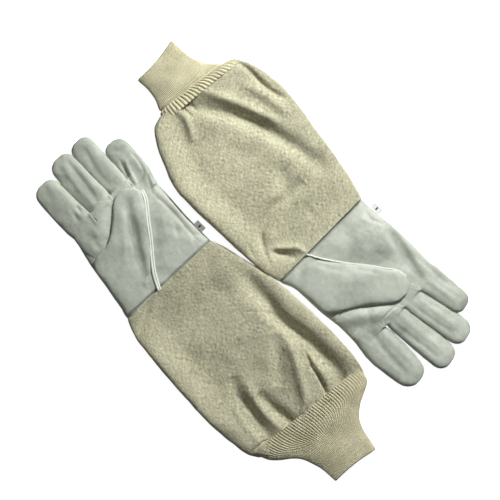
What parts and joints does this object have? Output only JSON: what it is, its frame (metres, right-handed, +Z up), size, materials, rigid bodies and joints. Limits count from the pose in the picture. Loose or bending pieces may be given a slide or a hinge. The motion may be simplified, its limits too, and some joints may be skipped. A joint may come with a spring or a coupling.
{
  "type": "beekeeping gloves",
  "caption": "Pair of gauntlet gloves lying palm up, head to tail: leather hands with folded thumbs, wide canvas sleeves and ribbed knit cuffs.",
  "frame": {"origin": "middle of the pair's outline, on the surface that the gloves lie on", "axes": "+X along the gloves, towards the right glove's fingertips; +Y from the left glove to the right glove; +Z up, out of the palms"},
  "size_m": [0.5062, 0.3356, 0.031],
  "materials": {
    "leather": "soft grain leather",
    "welt": "folded edge of the same leather",
    "canvas": "unbleached plain-weave cotton canvas",
    "knit": "cream cotton rib knit",
    "tag": "white woven label"
  },
  "bodies": {
    "left_sleeve": {"left_sleeve_front": "canvas", "left_sleeve_back": "canvas"},
    "left_cuff": {"left_knit_cuff": "knit"},
    "left_hand": {"left_palm_panel": "leather", "left_back_panel": "leather", "left_thumb_base": "leather", "left_thumb_base_welt": "welt", "left_size_tag": "tag"},
    "left_thumb": {"left_thumb_outer": "leather", "left_thumb_inner": "leather", "left_thumb_welt": "welt"},
    "left_index": {"left_index_front": "leather", "left_index_back": "leather", "left_index_fourchette_little_side": "leather"},
    "left_middle": {"left_middle_front": "leather", "left_middle_back": "leather", "left_middle_fourchette_thumb_side": "leather", "left_middle_fourchette_little_side": "leather"},
    "left_ring": {"left_ring_front": "leather", "left_ring_back": "leather", "left_ring_fourchette_thumb_side": "leather", "left_ring_fourchette_little_side": "leather"},
    "left_little": {"left_little_front": "leather", "left_little_back": "leather", "left_little_fourchette_thumb_side": "leather"},
    "right_sleeve": {"right_sleeve_front": "canvas", "right_sleeve_back": "canvas"},
    "right_cuff": {"right_knit_cuff": "knit"},
    "right_hand": {"right_palm_panel": "leather", "right_back_panel": "leather", "right_thumb_base": "leather", "right_thumb_base_welt": "welt", "right_size_tag": "tag"},
    "right_thumb": {"right_thumb_outer": "leather", "right_thumb_inner": "leather", "right_thumb_welt": "welt"},
    "right_index": {"right_index_front": "leather", "right_index_back": "leather", "right_index_fourchette_little_side": "leather"},
    "right_middle": {"right_middle_front": "leather", "right_middle_back": "leather", "right_middle_fourchette_thumb_side": "leather", "right_middle_fourchette_little_side": "leather"},
    "right_ring": {"right_ring_front": "leather", "right_ring_back": "leather", "right_ring_fourchette_thumb_side": "leather", "right_ring_fourchette_little_side": "leather"},
    "right_little": {"right_little_front": "leather", "right_little_back": "leather", "right_little_fourchette_thumb_side": "leather"}
  },
  "joints": [
    {"name": "left_wrist_fold", "type": "hinge", "parent": "left_sleeve", "child": "left_hand", "pos_m": [-0.05842, -0.08303, 0.022], "axis": [0.0379, 0.9993, 0], "range_deg": [0, 80]},
    {"name": "left_cuff_fold", "type": "hinge", "parent": "left_sleeve", "child": "left_cuff", "pos_m": [0.17508, -0.07603, 0.024], "axis": [-0.0917, -0.9958, 0], "range_deg": [0, 80]},
    {"name": "left_thumb_lift", "type": "hinge", "parent": "left_hand", "child": "left_thumb", "pos_m": [-0.11992, -0.08103, 0.031], "axis": [0.6989, 0.7152, 0], "range_deg": [0, 60]},
    {"name": "left_index_flex", "type": "hinge", "parent": "left_hand", "child": "left_index", "pos_m": [-0.16592, -0.11203, 0.016], "axis": [0.0039, 1, 0], "range_deg": [0, 80]},
    {"name": "left_middle_flex", "type": "hinge", "parent": "left_hand", "child": "left_middle", "pos_m": [-0.17192, -0.07633, 0.016], "axis": [-0.016, 0.9999, 0], "range_deg": [0, 80]},
    {"name": "left_ring_flex", "type": "hinge", "parent": "left_hand", "child": "left_ring", "pos_m": [-0.17292, -0.04823, 0.016], "axis": [0.0267, 0.9996, 0], "range_deg": [0, 80]},
    {"name": "left_little_flex", "type": "hinge", "parent": "left_hand", "child": "left_little", "pos_m": [-0.16292, -0.02183, 0.015], "axis": [0.0719, 0.9974, 0], "range_deg": [0, 80]},
    {"name": "right_glove_lift", "type": "slide", "parent": "left_sleeve", "child": "right_sleeve", "axis": [0, 0, 1], "range_m": [0, 0.25]},
    {"name": "right_wrist_fold", "type": "hinge", "parent": "right_sleeve", "child": "right_hand", "pos_m": [0.03858, 0.07497, 0.022], "axis": [0.0074, -1, 0], "range_deg": [0, 80]},
    {"name": "right_cuff_fold", "type": "hinge", "parent": "right_sleeve", "child": "right_cuff", "pos_m": [-0.19342, 0.09797, 0.024], "axis": [0.1289, 0.9917, 0], "range_deg": [0, 80]},
    {"name": "right_thumb_lift", "type": "hinge", "parent": "right_hand", "child": "right_thumb", "pos_m": [0.10408, 0.06797, 0.031], "axis": [0.6549, -0.7557, 0], "range_deg": [0, 60]},
    {"name": "right_index_flex", "type": "hinge", "parent": "right_hand", "child": "right_index", "pos_m": [0.15708, 0.03697, 0.016], "axis": [0.0209, -0.9998, 0], "range_deg": [0, 80]},
    {"name": "right_middle_flex", "type": "hinge", "parent": "right_hand", "child": "right_middle", "pos_m": [0.15508, 0.07197, 0.016], "axis": [0.1083, -0.9941, 0], "range_deg": [0, 80]},
    {"name": "right_ring_flex", "type": "hinge", "parent": "right_hand", "child": "right_ring", "pos_m": [0.15408, 0.10087, 0.016], "axis": [0.1248, -0.9922, 0], "range_deg": [0, 80]},
    {"name": "right_little_flex", "type": "hinge", "parent": "right_hand", "child": "right_little", "pos_m": [0.15008, 0.13097, 0.015], "axis": [0.1044, -0.9945, 0], "range_deg": [0, 80]}
  ]
}
